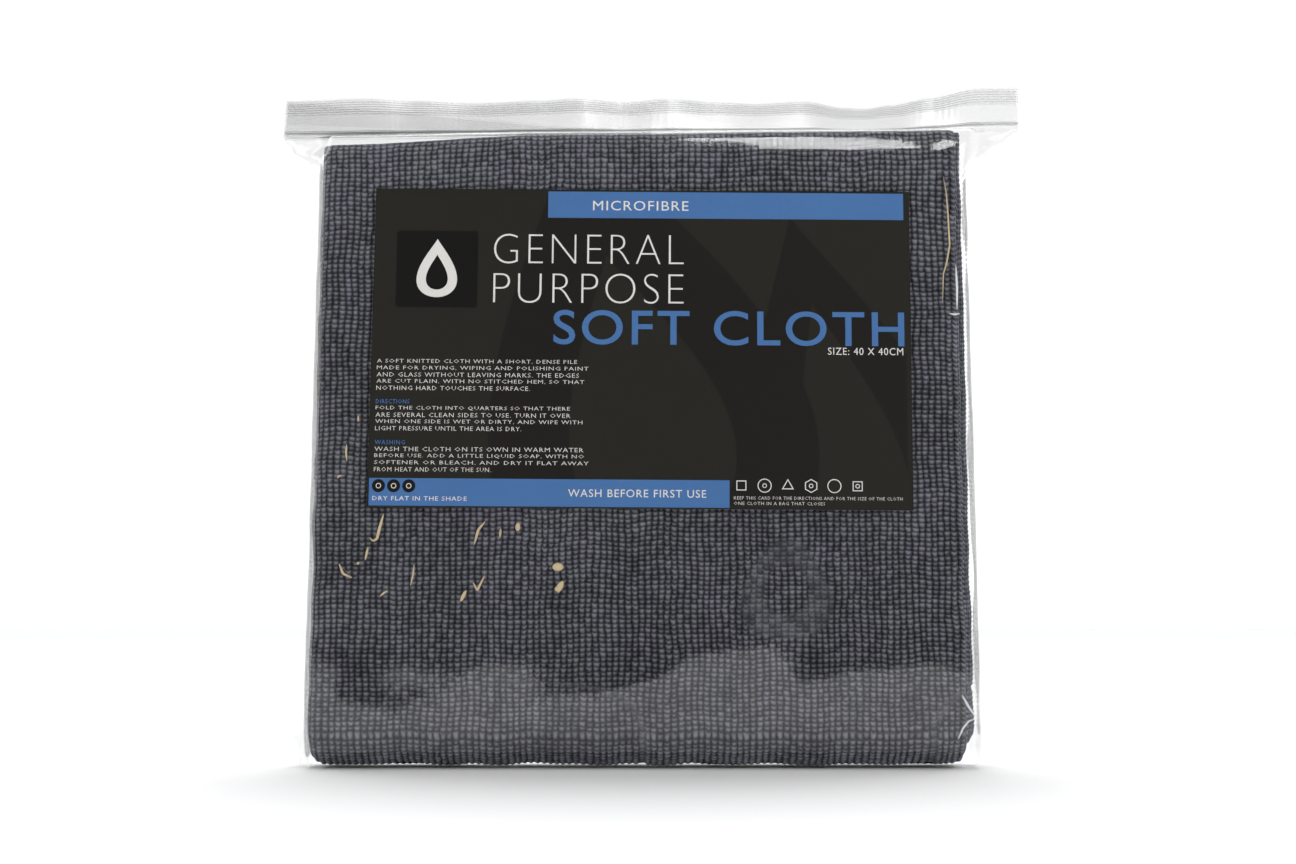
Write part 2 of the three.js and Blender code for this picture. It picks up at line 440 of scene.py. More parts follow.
def knitMaterial():
    s = Shader("microfibre knit")
    pattern = s.node("UVMap")
    pattern.uv_map = "knit"
    parts = s.node("SeparateXYZ", Vector=pattern.outputs[0])
    pressed = s.tree.nodes.new("ShaderNodeAttribute")
    pressed.attribute_name = "pressed"
    fuzz = s.noise(2600, 3)
    patches = s.noise(46, 2)
    wobble = s.math("MULTIPLY", s.math("SUBTRACT", s.noise(420, 2), 0.5), 0.55)
    u = s.math("ADD", parts.outputs[0], wobble)
    across = s.math("MULTIPLY", u, math.pi)
    crest = s.math("POWER", s.math("ABSOLUTE", s.math("SINE", across)), 0.55)
    bow = s.math("MULTIPLY", s.math("SUBTRACT", 1.0, crest), 0.3)
    v = s.math("ADD", s.math("ADD", parts.outputs[1], 0.5), s.math("ADD", bow, wobble))
    around = s.math("MULTIPLY", v, math.pi)
    stitch = s.math("POWER", s.math("ABSOLUTE", s.math("SINE", around)), 0.6)
    # stitches stand up as beads, except in the pressed ring
    flat = pressed.outputs["Fac"]
    tall = s.math("ADD", s.math("MULTIPLY", stitch, 0.68), 0.32)
    tall = s.math("MULTIPLY", tall, s.math("SUBTRACT", 1.0, flat))
    tall = s.math("ADD", tall, s.math("MULTIPLY", flat, 0.85))
    bead = s.math("MULTIPLY", crest, tall)
    kept = s.math("SUBTRACT", 1.0, s.math("MULTIPLY", flat, 0.65))
    shaped = s.math("ADD", s.math("MULTIPLY", bead, kept), s.math("MULTIPLY", flat, 0.47))
    height = s.math("ADD", shaped, s.math("MULTIPLY", fuzz, 0.55))
    # each stitch has its own tone, and a painted highlight lights the top edge of each bead
    cell = s.node("CombineXYZ", X=s.math("FLOOR", u), Y=s.math("FLOOR", v))
    eachStitch = s.tree.nodes.new("ShaderNodeTexWhiteNoise")
    eachStitch.noise_dimensions = "2D"
    s.put(cell.outputs[0], eachStitch.inputs["Vector"])
    ownTone = s.math("MULTIPLY", s.math("SUBTRACT", eachStitch.outputs["Value"], 0.5), 0.2)
    paintedUpperHighlight = s.math("SINE", s.math("MULTIPLY", around, 2.0))
    paintedUpperHighlight = s.math("MULTIPLY", paintedUpperHighlight, s.math("MULTIPLY", bead, 0.13))
    # a stitch's height sets its colour: painted shade in the hollows, a painted highlight on the crests
    tone = s.math("ADD", s.math("MULTIPLY", shaped, 0.72), s.math("MULTIPLY", fuzz, 0.24))
    tone = s.math("ADD", tone, paintedUpperHighlight)
    tone = s.math("ADD", tone, ownTone)
    tone = s.math("ADD", tone, s.math("MULTIPLY", s.math("SUBTRACT", patches, 0.5), 0.3))
    # painted light: the yarn is coloured paler towards the top, where more light falls
    place = s.tree.nodes.new("ShaderNodeTexCoord").outputs["Object"]
    aboveBase = s.node("SeparateXYZ", Vector=place).outputs[2]
    pale = s.math("MULTIPLY", s.math("SUBTRACT", aboveBase, yarn["paintedTopLightAbove"]), yarn["paintedTopLightGain"])
    tone = s.math("ADD", tone, s.math("MAXIMUM", pale, 0.0))
    color = s.ramp(tone, (0.26, yarn["groove"]), (0.6, yarn["stitch"]), (1.0, yarn["paintedCrestHighlight"]))
    tint = s.ramp(s.noise(75, 1), (0.36, yarn["warmTint"]), (0.64, yarn["coolTint"]))
    dyed = s.tree.nodes.new("ShaderNodeVectorMath")
    dyed.operation = "MULTIPLY"
    s.put(color, dyed.inputs[0])
    s.put(tint, dyed.inputs[1])
    fabric = s.node(
        "BsdfPrincipled", Base_Color=dyed.outputs[0], Roughness=0.88,
        Normal=s.bump(height, yarn["bumpDepth"], 0.9), Sheen_Weight=0.2, Sheen_Roughness=0.45,
    )
    fabric.inputs["Specular IOR Level"].default_value = 0.25
    fabric.inputs["Sheen Tint"].default_value = (0.75, 0.8, 0.9, 1)
    return s.finish(fabric.outputs[0])


# ---- the film

film = {
    "thickness": 0.08,
    "reflection": 0.026,   # share of light that each surface reflects when met squarely
    "columnStep": 2.2,
    "rowStep": 2.2,
    "inset": 0.2,          # of its outer face from the plain walls
    "baseGap": 0.15,       # from the surface that the pack stands on
    "sideWave": 0.35,
    "restsBelow": 0.35,    # where the base faces down more than this, it doesn't show
}


def filmMaterial(name, clear, paintedShadeEdgeClear, gloss, crinkle, milk=0.0):
    s = Shader(name)
    folds = s.noise(55, 2, (1, 1, 0.55))
    ridges = s.math("ABSOLUTE", s.math("SUBTRACT", s.noise(160, 1, (1, 1, 0.4)), 0.5))
    fine = s.math("POWER", s.math("SUBTRACT", 1.0, s.math("MULTIPLY", ridges, 2.0)), 8.0)
    height = s.math("ADD", folds, s.math("MULTIPLY", fine, 0.10))
    normal = s.bump(height, crinkle)
    # the see-through tint darkens toward grazing angles: painted shade standing in for the dark lines that
    # refraction draws along bends and rib flanks
    slant = s.node("LayerWeight", Blend=0.35)
    tint = s.ramp(slant.outputs["Facing"], (0.0, grey(clear)), (1.0, grey(paintedShadeEdgeClear)))
    behind = s.node("BsdfTransparent", Color=tint).outputs[0]
    if milk:
        haze = s.node("BsdfDiffuse", Color=(0.86, 0.87, 0.88, 1))
        glow = s.node("BsdfTranslucent", Color=(0.86, 0.87, 0.88, 1))
        cloudy = s.mix(0.5, haze.outputs[0], glow.outputs[0])
        behind = s.mix(milk, behind, cloudy)
    shine = s.node("BsdfGlossy", Roughness=gloss, Normal=normal, Color=(1, 1, 1, 1))
    across = s.node("LayerWeight", Blend=0.5, Normal=normal)
    grazing = s.math("POWER", across.outputs["Facing"], 5.0)
    share = s.math("ADD", s.math("MULTIPLY", grazing, 1 - film["reflection"]), film["reflection"])
    return s.finish(s.mix(share, behind, shine.outputs[0]))


def beadMaterial():  # the zip's thicker plastic, too cloudy to be seen through
    s = Shader("zip bead plastic")
    return s.finish(s.node("BsdfDiffuse", Color=(0.9, 0.905, 0.91, 1)).outputs[0])


def seamMaterial():  # where one stretch of film runs on into the next, nothing shows
    s = Shader("film seam")
    return s.finish(s.node("BsdfTransparent", Color=(1, 1, 1, 1)).outputs[0])


def bagPlan():
    # The film in plan, right round from the middle of the back: (x, y, outward x, outward y)
    radius = bag["cornerRadius"]
    halfX = wallHigh.x - film["inset"]
    halfY = (backHigh.y - wallLow.y) / 2 - film["inset"]
    across = round(2 * (halfX - radius) / film["columnStep"])
    deep = 6
    bend = 5
    plan = []
    corners = [(1, 1, 90), (-1, 1, 180), (-1, -1, 270), (1, -1, 360)]
    for signX, signY, angle in corners:
        middleX, middleY = signX * (halfX - radius), signY * (halfY - radius)
        for i in range(bend):
            turn = math.radians(angle - 90 + 90 * i / bend)
            outX, outY = math.cos(turn), math.sin(turn)
            plan.append((middleX + radius * outX, middleY + radius * outY, outX, outY))
        turn = math.radians(angle)
        outX, outY = math.cos(turn), math.sin(turn)
        run = across if abs(outY) > 0.5 else deep
        length = 2 * (halfX - radius) if abs(outY) > 0.5 else 2 * (halfY - radius)
        startX, startY = middleX + radius * outX, middleY + radius * outY
        for i in range(run):
            plan.append((startX - outY * length * i / run, startY + outX * length * i / run, outX, outY))
    plan.append(plan[0])
    return plan


def bagPoint(x, y, outX, outY, z):
    swell = (frontSwell(x, z) if outY < 0 else wave(x, z, 21.3)) * abs(outY)
    if abs(outX) > 0.5:
        fade = ease(z, 6, 20) * ease(wallHigh.z - z, 0, 12)
        swell += film["sideWave"] * noise.noise(Vector((y / 7, z / 16, 40 + outX))) * fade
    return x + outX * swell, y + outY * swell


def makeFilmBody(material, seam):
    plan = bagPlan()
    low = bag["baseRadius"]
    levels = steps(wallHigh.z, low, round((wallHigh.z - low) / film["rowStep"]))
    path = [(z, 0) for z in levels]
    path += [(low, math.pi / 2 * i / 12) for i in range(1, 13)]
    squareness = 2 / bag["baseSquareness"]
    bm, places = gridOf(len(plan) - 1, len(path) - 1)
    for vert, column, row in places:
        z, angle = path[row]
        x, y = bagPoint(*plan[column], z)
        down = math.sin(angle) ** squareness
        y *= max(math.cos(angle), 0) ** squareness
        x *= 1 - bag["baseTaper"] * down
        z -= down * (low - film["baseGap"])
        z += through(mouth["filmRise"], x) * ease(z, wallHigh.z - 4, lipLow.z)
        vert.co = (x, y, z)
    bmesh.ops.remove_doubles(bm, verts=bm.verts, dist=0.002)
    bmesh.ops.recalc_face_normals(bm, faces=bm.faces)
    for face in bm.faces:
        face.material_index = 1 if face.normal.z < -film["restsBelow"] else 0
    piece = meshPiece("film_body", bm, [material, seam])
    thicken(piece, film["thickness"], rimMaterial=1)
    walls = ("front_wall", "back_wall", "base_fold", "left_side_wall", "right_side_wall")
    return rideOn(piece, "bag", walls)


def halfPlan(sideY, sideX):
    # A quarter of the film in plan, from the middle of the front or back to the middle of one side
    radius = bag["cornerRadius"]
    halfX = wallHigh.x - film["inset"]
    halfY = (backHigh.y - wallLow.y) / 2 - film["inset"]
    points = [(x, halfY, 0, 1) for x in steps(0, halfX - radius, 42)]
    for i in range(1, 6):
        turn = math.radians(90 - 18 * i)
        outX, outY = math.cos(turn), math.sin(turn)
        points.append((halfX - radius + radius * outX, halfY - radius + radius * outY, outX, outY))
    points += [(halfX, y, 1, 0) for y in steps(halfY - radius, 0, 5)[1:]]
    return [(sideX * x, sideY * y, sideX * outX, sideY * outY) for x, y, outX, outY in points]


shoulder = {
    "rows": 18,
    "roundness": 2 / 3,    # of its squarish curve from the wall in to the lips
    "softWave": 0.2,
    "crumple": 0.8,
    # (share of the way up the shoulder, share of the way out to the strip's end) points
    "leftEar": [(0, 0), (0.36, 0.04), (0.49, 0.5), (0.73, 0.78), (1, 1)],
    "rightEar": [(0, 0), (0.2, 0.02), (0.4, 0.25), (0.6, 0.5), (0.8, 0.75), (1, 1)],
}


def shoulderPull(reach):  # how far in the shoulder has drawn, a share of the way up it
    roundness = shoulder["roundness"]
    return 1 - max(1 - reach ** (2 / roundness), 0) ** (roundness / 2)


def makeShoulder(name, sideY, sideX, flap, material, seam, replaced):
    plan = halfPlan(sideY, sideX)
    rows = shoulder["rows"]
    ear = shoulder["rightEar" if sideX > 0 else "leftEar"]
    bm, places = gridOf(len(plan) - 1, rows)
    lengths = [0]
    for (x0, y0, *_), (x1, y1, *_) in zip(plan, plan[1:]):
        lengths.append(lengths[-1] + math.hypot(x1 - x0, y1 - y0))
    for vert, column, row in places:
        reach = math.sin(math.pi / 2 * row / rows) ** shoulder["roundness"]
        z = shoulderLow.z + (lipLow.z - shoulderLow.z) * reach
        x, y = bagPoint(*plan[column], wallHigh.z)
        outX, outY = plan[column][2:]
        lipX = sideX * lipHigh.x * lengths[column] / lengths[-1]
        lipY = sideY * abs(lipHigh.y) * (1 if column < len(plan) - 1 else 0)
        front = shoulderPull(reach)
        pull = front + (through(ear, reach) - front) * abs(outX)
        middle = math.sin(math.pi * reach) ** 2
        dent = shoulder["crumple"] * noise.noise(Vector((x / 6, y / 3, z / 5 + sideX * 9)))
        dent *= middle * ease(abs(lipX), 84, 104)
        soft = shoulder["softWave"] * noise.noise(Vector((x / 17, z / 9, sideY * 3))) * middle
        vert.co = mouthPlace(x + (lipX - x) * pull, y + (lipY - y) * pull + dent + sideY * soft, z)
    bmesh.ops.recalc_face_normals(bm, faces=bm.faces)
    turnOut(bm, sideY)
    piece = meshPiece(name, bm, [material, seam])
    thicken(piece, film["thickness"], rimMaterial=1)
    return acrossMouth(piece, sideX, flap, replaced)


def turnOut(bm, sideY):  # an open sheet's faces point away from the bag's middle
    bm.normal_update()
    facing = sum(face.normal.y * face.calc_area() for face in bm.faces)
    if facing * sideY < 0:
        bmesh.ops.reverse_faces(bm, faces=bm.faces)


def acrossMouth(piece, sideX, flap, replaced):
    z = wallHigh.z / perMetre
    start = (sideX * mouth["stillPast"] / perMetre, 0, z)
    end = (sideX * mouth["opensWithin"] / perMetre, 0, z)
    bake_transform(piece, "bag", flap, start=start, end=end)
    if replaced:
        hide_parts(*replaced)
    return piece


# ---- lips and zip

lips = {
    "ribs": 6,
    "firstRib": 3,         # the corner of the section where the ribs begin
    "ribPitch": 0.8,
    "belowTop": 0.7,
    "ribHeight": 0.45,
    "sheet": 0.16,
    "overlap": 0.1,        # down over the shoulder
    "stationStep": 1.8,
    "ripple": 0.12,
}
zipBeads = {"ribRadius": 0.3, "stem": 0.1, "grooveRadius": 0.7, "hollowRadius": 0.46, "opening": 0.75}


def lipSection(sideY):  # a lip in section, round from its lower inner edge, with grip ribs outside: (y, z)
    inner = abs(lipHigh.y)
    outer = inner + lips["sheet"]
    bottom = lipLow.z - lips["overlap"]
    section = [(inner, bottom), (inner, lipHigh.z), (outer, lipHigh.z)]
    for i in range(lips["ribs"]):
        middle = lipHigh.z - lips["belowTop"] - i * lips["ribPitch"]
        for share, height in ((0.36, 0), (0.16, 1), (-0.16, 1), (-0.36, 0)):
            section.append((outer + lips["ribHeight"] * height, middle + share * lips["ribPitch"]))
    section.append((outer, lipHigh.z - 8))
    section.append((outer, bottom))
    return [(sideY * y, z) for y, z in section]


def zipSection(sideY):  # the front's rib, or the back's groove, each a bead on its lip's inner face: (y, z)
    middle = (grooveLow.z + grooveHigh.z) / 2

    def arc(radius, start, end, count):
        return [(radius * math.cos(a), middle + radius * math.sin(a)) for a in steps(start, end, count)]

    if sideY < 0:
        inner, stem = abs(lipHigh.y) - 0.02, zipBeads["stem"]
        return [(-inner, middle - stem), *arc(zipBeads["ribRadius"], -2.8, 2.8, 10), (-inner, middle + stem)]
    start, end = zipBeads["opening"], 2 * math.pi - zipBeads["opening"]
    ring = [*arc(zipBeads["grooveRadius"], start, end, 16), *arc(zipBeads["hollowRadius"], end, start, 12)]
    return [(-y, z) for y, z in ring]


def makeStrip(name, section, sideX, flap, materials, replaced):
    section = [*section, section[0]]
    count = round(lipHigh.x / lips["stationStep"])
    stations = [sideX * x for x in steps(0, lipHigh.x, count)]
    bm, places = gridOf(len(section) - 1, count)
    for vert, column, row in places:
        y, z = section[column]
        x = stations[row]
        ripple = lips["ripple"] * noise.noise(Vector((x / 5, z / 6, 2)))
        vert.co = mouthPlace(x, y + ripple, z)
    middle = [vert for vert, column, row in places if row == 0]
    closeTube(bm)
    middle = {vert for vert in middle if vert.is_valid}
    columnOf = {vert: column for vert, column, _ in places if vert.is_valid}
    for face in bm.faces:
        columns = {columnOf[vert] for vert in face.verts}
        lowerEdge = len(materials) > 2 and columns <= {0, len(section) - 2, len(section) - 1}
        if lowerEdge or middle.issuperset(face.verts):
            face.material_index = 1
        elif len(materials) > 2 and max(columns) - min(columns) == 1:
            rib = min(columns) - lips["firstRib"]
            face.material_index = 2 if 0 <= rib < 4 * lips["ribs"] - 1 and rib % 4 < 3 else 0
    piece = meshPiece(name, bm, materials, smooth=False)
    return acrossMouth(piece, sideX, flap, replaced)


def makeMouth(filmLook, seam, lipLook, ribLook, beadLook):
    lipLooks = [lipLook, seam, ribLook]
    beadLooks = [beadLook, seam]
    for sideY, edge, bead in ((-1, "front", "zip_rib"), (1, "back", "zip_groove")):
        flap = f"{edge}_flap"
        for sideX, half in ((-1, "left"), (1, "right")):
            first = sideX < 0  # the left half replaces the whole node
            makeShoulder(f"{edge}_shoulder_film_{half}", sideY, sideX, flap, filmLook, seam,
                         (f"{edge}_shoulder",) if first else ())
            makeStrip(f"{edge}_lip_strip_{half}", lipSection(sideY), sideX, flap, lipLooks,
                      (f"{edge}_lip",) if first else ())
            makeStrip(f"{bead}_bead_{half}", zipSection(sideY), sideX, flap, beadLooks,
                      (bead,) if first else ())


# ---- side welds with their crumpled ears

weld = {
    # (height, width) points of the fin that stands out past each side
    "left": [(0.4, 6.1), (5.7, 6.4), (11.6, 2.0), (15, 1.9), (35, 1.8), (60, 0.9), (178, 0.5)],
    "right": [
        (0.4, 5.2), (3.4, 6.5), (6.5, 5.6), (10, 2.7), (13, 2.6), (18, 3.6), (26, 2.4), (38, 0.6), (178, 0.4),
    ],
    "bottom": 0.4,
    "overlap": 0.25,       # in past the side of the film
    "columns": 10,
    "rows": 150,
    "thickness": 0.16,
    "crumple": 2.6,
    "bow": 0.5,
    "dip": 0.8,
}


def makeWeld(name, sideX, widths, material, replaced):
    columns = weld["columns"]
    levels = steps(weld["bottom"], wallHigh.z, weld["rows"])
    bm, places = gridOf(columns, weld["rows"])
    for vert, column, row in places:
        z = levels[row]
        out = through(widths, z) * column / columns
        loose = ease(26 - z, 0, 18)
        bend = weld["crumple"] * noise.noise(Vector((out / 2.4, z / 2.6, sideX * 6)))
        bend *= loose * ease(out, 0, 3)
        bend += weld["bow"] * noise.noise(Vector((0.3, z / 14, sideX * 2))) * ease(out, 0, 2)
        x = sideX * (wallHigh.x - weld["overlap"] + out)
        dip = noise.noise(Vector((out / 3, z / 3, 8 + sideX))) * weld["dip"] * loose
        vert.co = (x, bend, max(z + dip, film["baseGap"]))
    turnOut(bm, -1)
    piece = meshPiece(name, bm, [material])
    thicken(piece, weld["thickness"])
    return rideOn(piece, "bag", replaced)


# ---- the label and its print

label = {
    "thickness": 0.25,
    "turn": 0.4,           # degrees
    "standOff": 0.32,
    "columns": 54,
    "rows": 32,
    "printStep": 0.03,     # between two layers of print
    "grain": 0.1,
    # where the shade print stops, from the top left corner
    "printLeft": 1,
    "printRight": 160.6,
    "printTop": 1,
    "printBottom": 95.6,
}


def labelPlace(across, down, lift):
    # A point of the label, from its top left corner, in the bag's place
    turn = math.radians(label["turn"])
    middleX = (labelLow.x + labelHigh.x) / 2
    middleZ = (labelLow.z + labelHigh.z) / 2
    dx = labelLow.x + across - middleX
    dz = labelHigh.z - down - middleZ
    x = middleX + dx * math.cos(turn) + dz * math.sin(turn)
    z = middleZ + dz * math.cos(turn) - dx * math.sin(turn)
    return Vector((x, frontFilm(x, z) - label["standOff"] - lift, z))


def makeLabel(face, rim):
    width, height = labelHigh.x - labelLow.x, labelHigh.z - labelLow.z
    columns, rows = label["columns"], label["rows"]
    bm, places = gridOf(columns, rows)
    for vert, column, row in places:
        vert.co = labelPlace(width * column / columns, height * row / rows, 0)
    turnOut(bm, -1)
    piece = meshPiece("label_card", bm, [face, rim])
    thicken(piece, label["thickness"], rimMaterial=1)
    return rideOn(piece, "bag", ("label",))


def sliceFlat(bm, step):  # cuts a flat print into strips, so that it can follow the label's swell
    low = [min(vert.co[i] for vert in bm.verts) for i in range(2)]
    high = [max(vert.co[i] for vert in bm.verts) for i in range(2)]
    for i, normal in ((0, (1, 0, 0)), (1, (0, 1, 0))):
        for k in range(1, math.ceil((high[i] - low[i]) / step)):
            point = [0, 0, 0]
            point[i] = low[i] + k * step
            geometry = [*bm.verts, *bm.edges, *bm.faces]
            bmesh.ops.bisect_plane(bm, geom=geometry, plane_co=point, plane_no=normal)


def printed(target, bm, level):  # lays a flat shape, drawn in label millimetres, on a mesh of print
    sliceFlat(bm, 4)
    for vert in bm.verts:
        vert.co = labelPlace(vert.co.x, -vert.co.y, level * label["printStep"])
    turnOut(bm, -1)
    flat = bpy.data.meshes.new("print")
    bm.to_mesh(flat)
    bm.free()
    target.from_mesh(flat)
    bpy.data.meshes.remove(flat)


def printBand(target, left, top, right, bottom, radius=0.0):
    bm = bmesh.new()
    bmesh.ops.create_grid(bm, x_segments=1, y_segments=1, size=0.5)
    bmesh.ops.scale(bm, vec=(right - left, bottom - top, 1), verts=bm.verts)
    bmesh.ops.translate(bm, vec=((left + right) / 2, -(top + bottom) / 2, 0), verts=bm.verts)
    if radius:
        bmesh.ops.bevel(bm, geom=bm.verts[:], offset=radius, affect="VERTICES", segments=4,
                        profile=0.5, material=-1)
    printed(target, bm, 1)


def printDisc(target, across, down, radius, level=2, sides=24, ring=0.0, turn=0.0):
    bm = bmesh.new()
    bmesh.ops.create_circle(bm, cap_ends=True, segments=sides, radius=radius)
    if ring:
        made = bmesh.ops.inset_region(bm, faces=bm.faces[:], thickness=ring, use_boundary=True,
                                      use_even_offset=True)
        inner = [face for face in bm.faces if face not in made["faces"]]
        bmesh.ops.delete(bm, geom=inner, context="FACES")
    spin = Matrix.Rotation(math.radians(turn), 3, "Z")
    bmesh.ops.rotate(bm, cent=(0, 0, 0), matrix=spin, verts=bm.verts)
    bmesh.ops.translate(bm, vec=(across, -down, 0), verts=bm.verts)
    printed(target, bm, level)


def printWords(target, words, left, middle, capHeight, width, weight=0.0, resolution=1):
    # One line of capitals, fitted to its height and width, with its middle at a height
    curve = bpy.data.curves.new("words", "FONT")
    curve.body = words
    curve.resolution_u = resolution
    curve.offset = weight
    curve.space_character = 1.12
    curve.fill_mode = "FRONT"
    holder = bpy.data.objects.new("words", curve)
    bpy.context.scene.collection.objects.link(holder)
    bpy.context.view_layer.update()
    mesh = bpy.data.meshes.new_from_object(holder)
    bpy.data.objects.remove(holder)
    bm = bmesh.new()
    bm.from_mesh(mesh)
    bpy.data.meshes.remove(mesh)
    bpy.data.curves.remove(curve)
    xs = [vert.co.x for vert in bm.verts]
    ys = [vert.co.y for vert in bm.verts]
    scale = (width / (max(xs) - min(xs)), capHeight / (max(ys) - min(ys)), 1)
    bmesh.ops.translate(bm, vec=(-min(xs), -(max(ys) + min(ys)) / 2, 0), verts=bm.verts)
    bmesh.ops.scale(bm, vec=scale, verts=bm.verts)
    bmesh.ops.translate(bm, vec=(left, -middle, 0), verts=bm.verts)
    bmesh.ops.remove_doubles(bm, verts=bm.verts, dist=0.002)
    printed(target, bm, 2)


def printTeardrop(target, across, down, width, height, lean, level, ring=0.0):
    bm = bmesh.new()
    for inset in (0, ring) if ring else (0,):
        made = bmesh.ops.create_circle(bm, cap_ends=not ring, segments=72, radius=1)["verts"]
        for vert in made:
            angle = math.atan2(abs(vert.co.x), vert.co.y)
            side = 1 if vert.co.x > 0 else -1
            belly = math.sin(angle) * math.sin(angle / 2) ** 1.3  # 0.77 at its widest
            vert.co.x = side * belly * (width / 2 - inset) / 0.77
            vert.co.y = (math.cos(angle) + 0.35) * (height / 2 - inset * 1.2) - 0.35 * height / 2
    if ring:
        bmesh.ops.bridge_loops(bm, edges=bm.edges[:])
    spin = Matrix.Rotation(math.radians(lean), 3, "Z")
    bmesh.ops.rotate(bm, cent=(0, 0, 0), matrix=spin, verts=bm.verts)
    bmesh.ops.translate(bm, vec=(across, -down, 0), verts=bm.verts)
    trims = (
        ((1, 0, 0), (label["printRight"], 0, 0)),
        ((-1, 0, 0), (label["printLeft"], 0, 0)),
        ((0, 1, 0), (0, -label["printTop"], 0)),
        ((0, -1, 0), (0, -label["printBottom"], 0)),
    )
    for normal, point in trims:
        geometry = [*bm.verts, *bm.edges, *bm.faces]
        bmesh.ops.bisect_plane(bm, geom=geometry, plane_co=point, plane_no=normal, clear_outer=True)
    printed(target, bm, level)


smallPrint = [  # (top, widths, lines) of each block of small generic directions
    (53.2, [
        ("A SOFT KNITTED CLOTH WITH A SHORT, DENSE PILE", 60.0),
        ("MADE FOR DRYING, WIPING AND POLISHING PAINT", 63.4),
        ("AND GLASS WITHOUT LEAVING MARKS. THE EDGES", 60.6),
        ("ARE CUT PLAIN, WITH NO STITCHED HEM, SO THAT", 62.2),
        ("NOTHING HARD TOUCHES THE SURFACE.", 46.0),
    ]),
    (67.4, [
        ("FOLD THE CLOTH INTO QUARTERS SO THAT THERE", 58.0),
        ("ARE SEVERAL CLEAN SIDES TO USE. TURN IT OVER", 58.2),
        ("WHEN ONE SIDE IS WET OR DIRTY, AND WIPE WITH", 61.8),
        ("LIGHT PRESSURE UNTIL THE AREA IS DRY.", 43.6),
    ]),
    (79.7, [
        ("WASH THE CLOTH ON ITS OWN IN WARM WATER", 62.2),
        ("BEFORE USE. ADD A LITTLE LIQUID SOAP, WITH NO", 62.4),
        ("SOFTENER OR BLEACH, AND DRY IT FLAT AWAY", 63.8),
        ("FROM HEAT AND OUT OF THE SUN.", 34.8),
    ]),
]


def makePrint(looks):
    layers = {name: bmesh.new() for name in looks}
    shade, black = layers["print_shade"], layers["print_black"]
    blue, white = layers["print_blue"], layers["print_white"]
    printTeardrop(shade, 78, 52, 104, 150, 14, 0.6, ring=26)
    printTeardrop(shade, 140, 66, 66, 120, 14, 0.4, ring=17)
    printBand(blue, 52.4, 0.6, 160.2, 8.8)
    printBand(blue, 0.5, 88.4, 107.5, 96.6)
    printBand(black, 6.8, 13.1, 31.4, 36.7, radius=0.9)
    printTeardrop(white, 19.1, 24.6, 13, 18, 0, 2, ring=3.0)
    printWords(white, "MICROFIBRE", 66, 4.9, 3.0, 29, resolution=3)
    printWords(white, "GENERAL", 36.2, 18.5, 9.2, 57.4, -0.026, resolution=6)
    printWords(white, "PURPOSE", 36.2, 30.6, 9.2, 57.4, -0.026, resolution=6)
    printWords(blue, "SOFT CLOTH", 54.5, 42.5, 10.6, 105.5, 0.008, resolution=6)
    printWords(white, "SIZE: 40 X 40CM", 137, 49.3, 2.2, 22.6, resolution=3)
    printWords(white, "WASH BEFORE FIRST USE", 59.6, 92.5, 2.3, 41, resolution=3)
    for top, lines in smallPrint:
        for i, (words, width) in enumerate(lines):
            printWords(white, words, 1.8, top + 2.03 * i, 1.3, width, -0.006)
    printWords(blue, "DIRECTIONS", 1.8, 65.4, 1.35, 10)
    printWords(blue, "WASHING", 1.8, 77.7, 1.35, 9)
    for across in (3.3, 7.8, 12.3):
        printDisc(black, across, 90.7, 1.95)
        printDisc(white, across, 90.7, 0.8, level=3, sides=18, ring=0.22)
    printWords(white, "DRY FLAT IN THE SHADE", 1.6, 94.4, 1.3, 28)
    for i, sides in enumerate((4, 24, 3, 6, 24, 4)):
        across = 111 + 6.9 * i
        turn = 45 if sides == 4 else 0
        printDisc(white, across, 89.9, 2.1, sides=sides, ring=0.28, turn=turn)
        if i % 2:
            printDisc(white, across, 89.9, 0.7, sides=12, ring=0.25)
    keepCard = "KEEP THIS CARD FOR THE DIRECTIONS AND FOR THE SIZE OF THE CLOTH"
    printWords(white, keepCard, 108.8, 93.6, 0.95, 50, -0.006)
    printWords(white, "ONE CLOTH IN A BAG THAT CLOSES", 108.8, 95.2, 0.95, 27, -0.006)
    for name, material in looks.items():
        piece = meshPiece(name, layers[name], [material], smooth=False)
        rideOn(piece, "bag")


def paperMaterial(name, color, roughness):
    s = Shader(name)
    grain = label["grain"]
    fibre = s.noise(900, 3)
    broad = s.noise(60, 2)
    level = s.math("ADD", s.math("MULTIPLY", fibre, grain), s.math("MULTIPLY", broad, grain))
    level = s.math("ADD", level, 1 - grain)
    scaled = s.tree.nodes.new("ShaderNodeVectorMath")
    scaled.operation = "SCALE"
    scaled.inputs[0].default_value = color
    s.put(level, scaled.inputs["Scale"])
    sheet = s.node("BsdfPrincipled", Base_Color=scaled.outputs[0], Roughness=roughness,
                   Normal=s.bump(fibre, 0.02, 0.4))
    sheet.inputs["Specular IOR Level"].default_value = 0.2
    return s.finish(sheet.outputs[0])
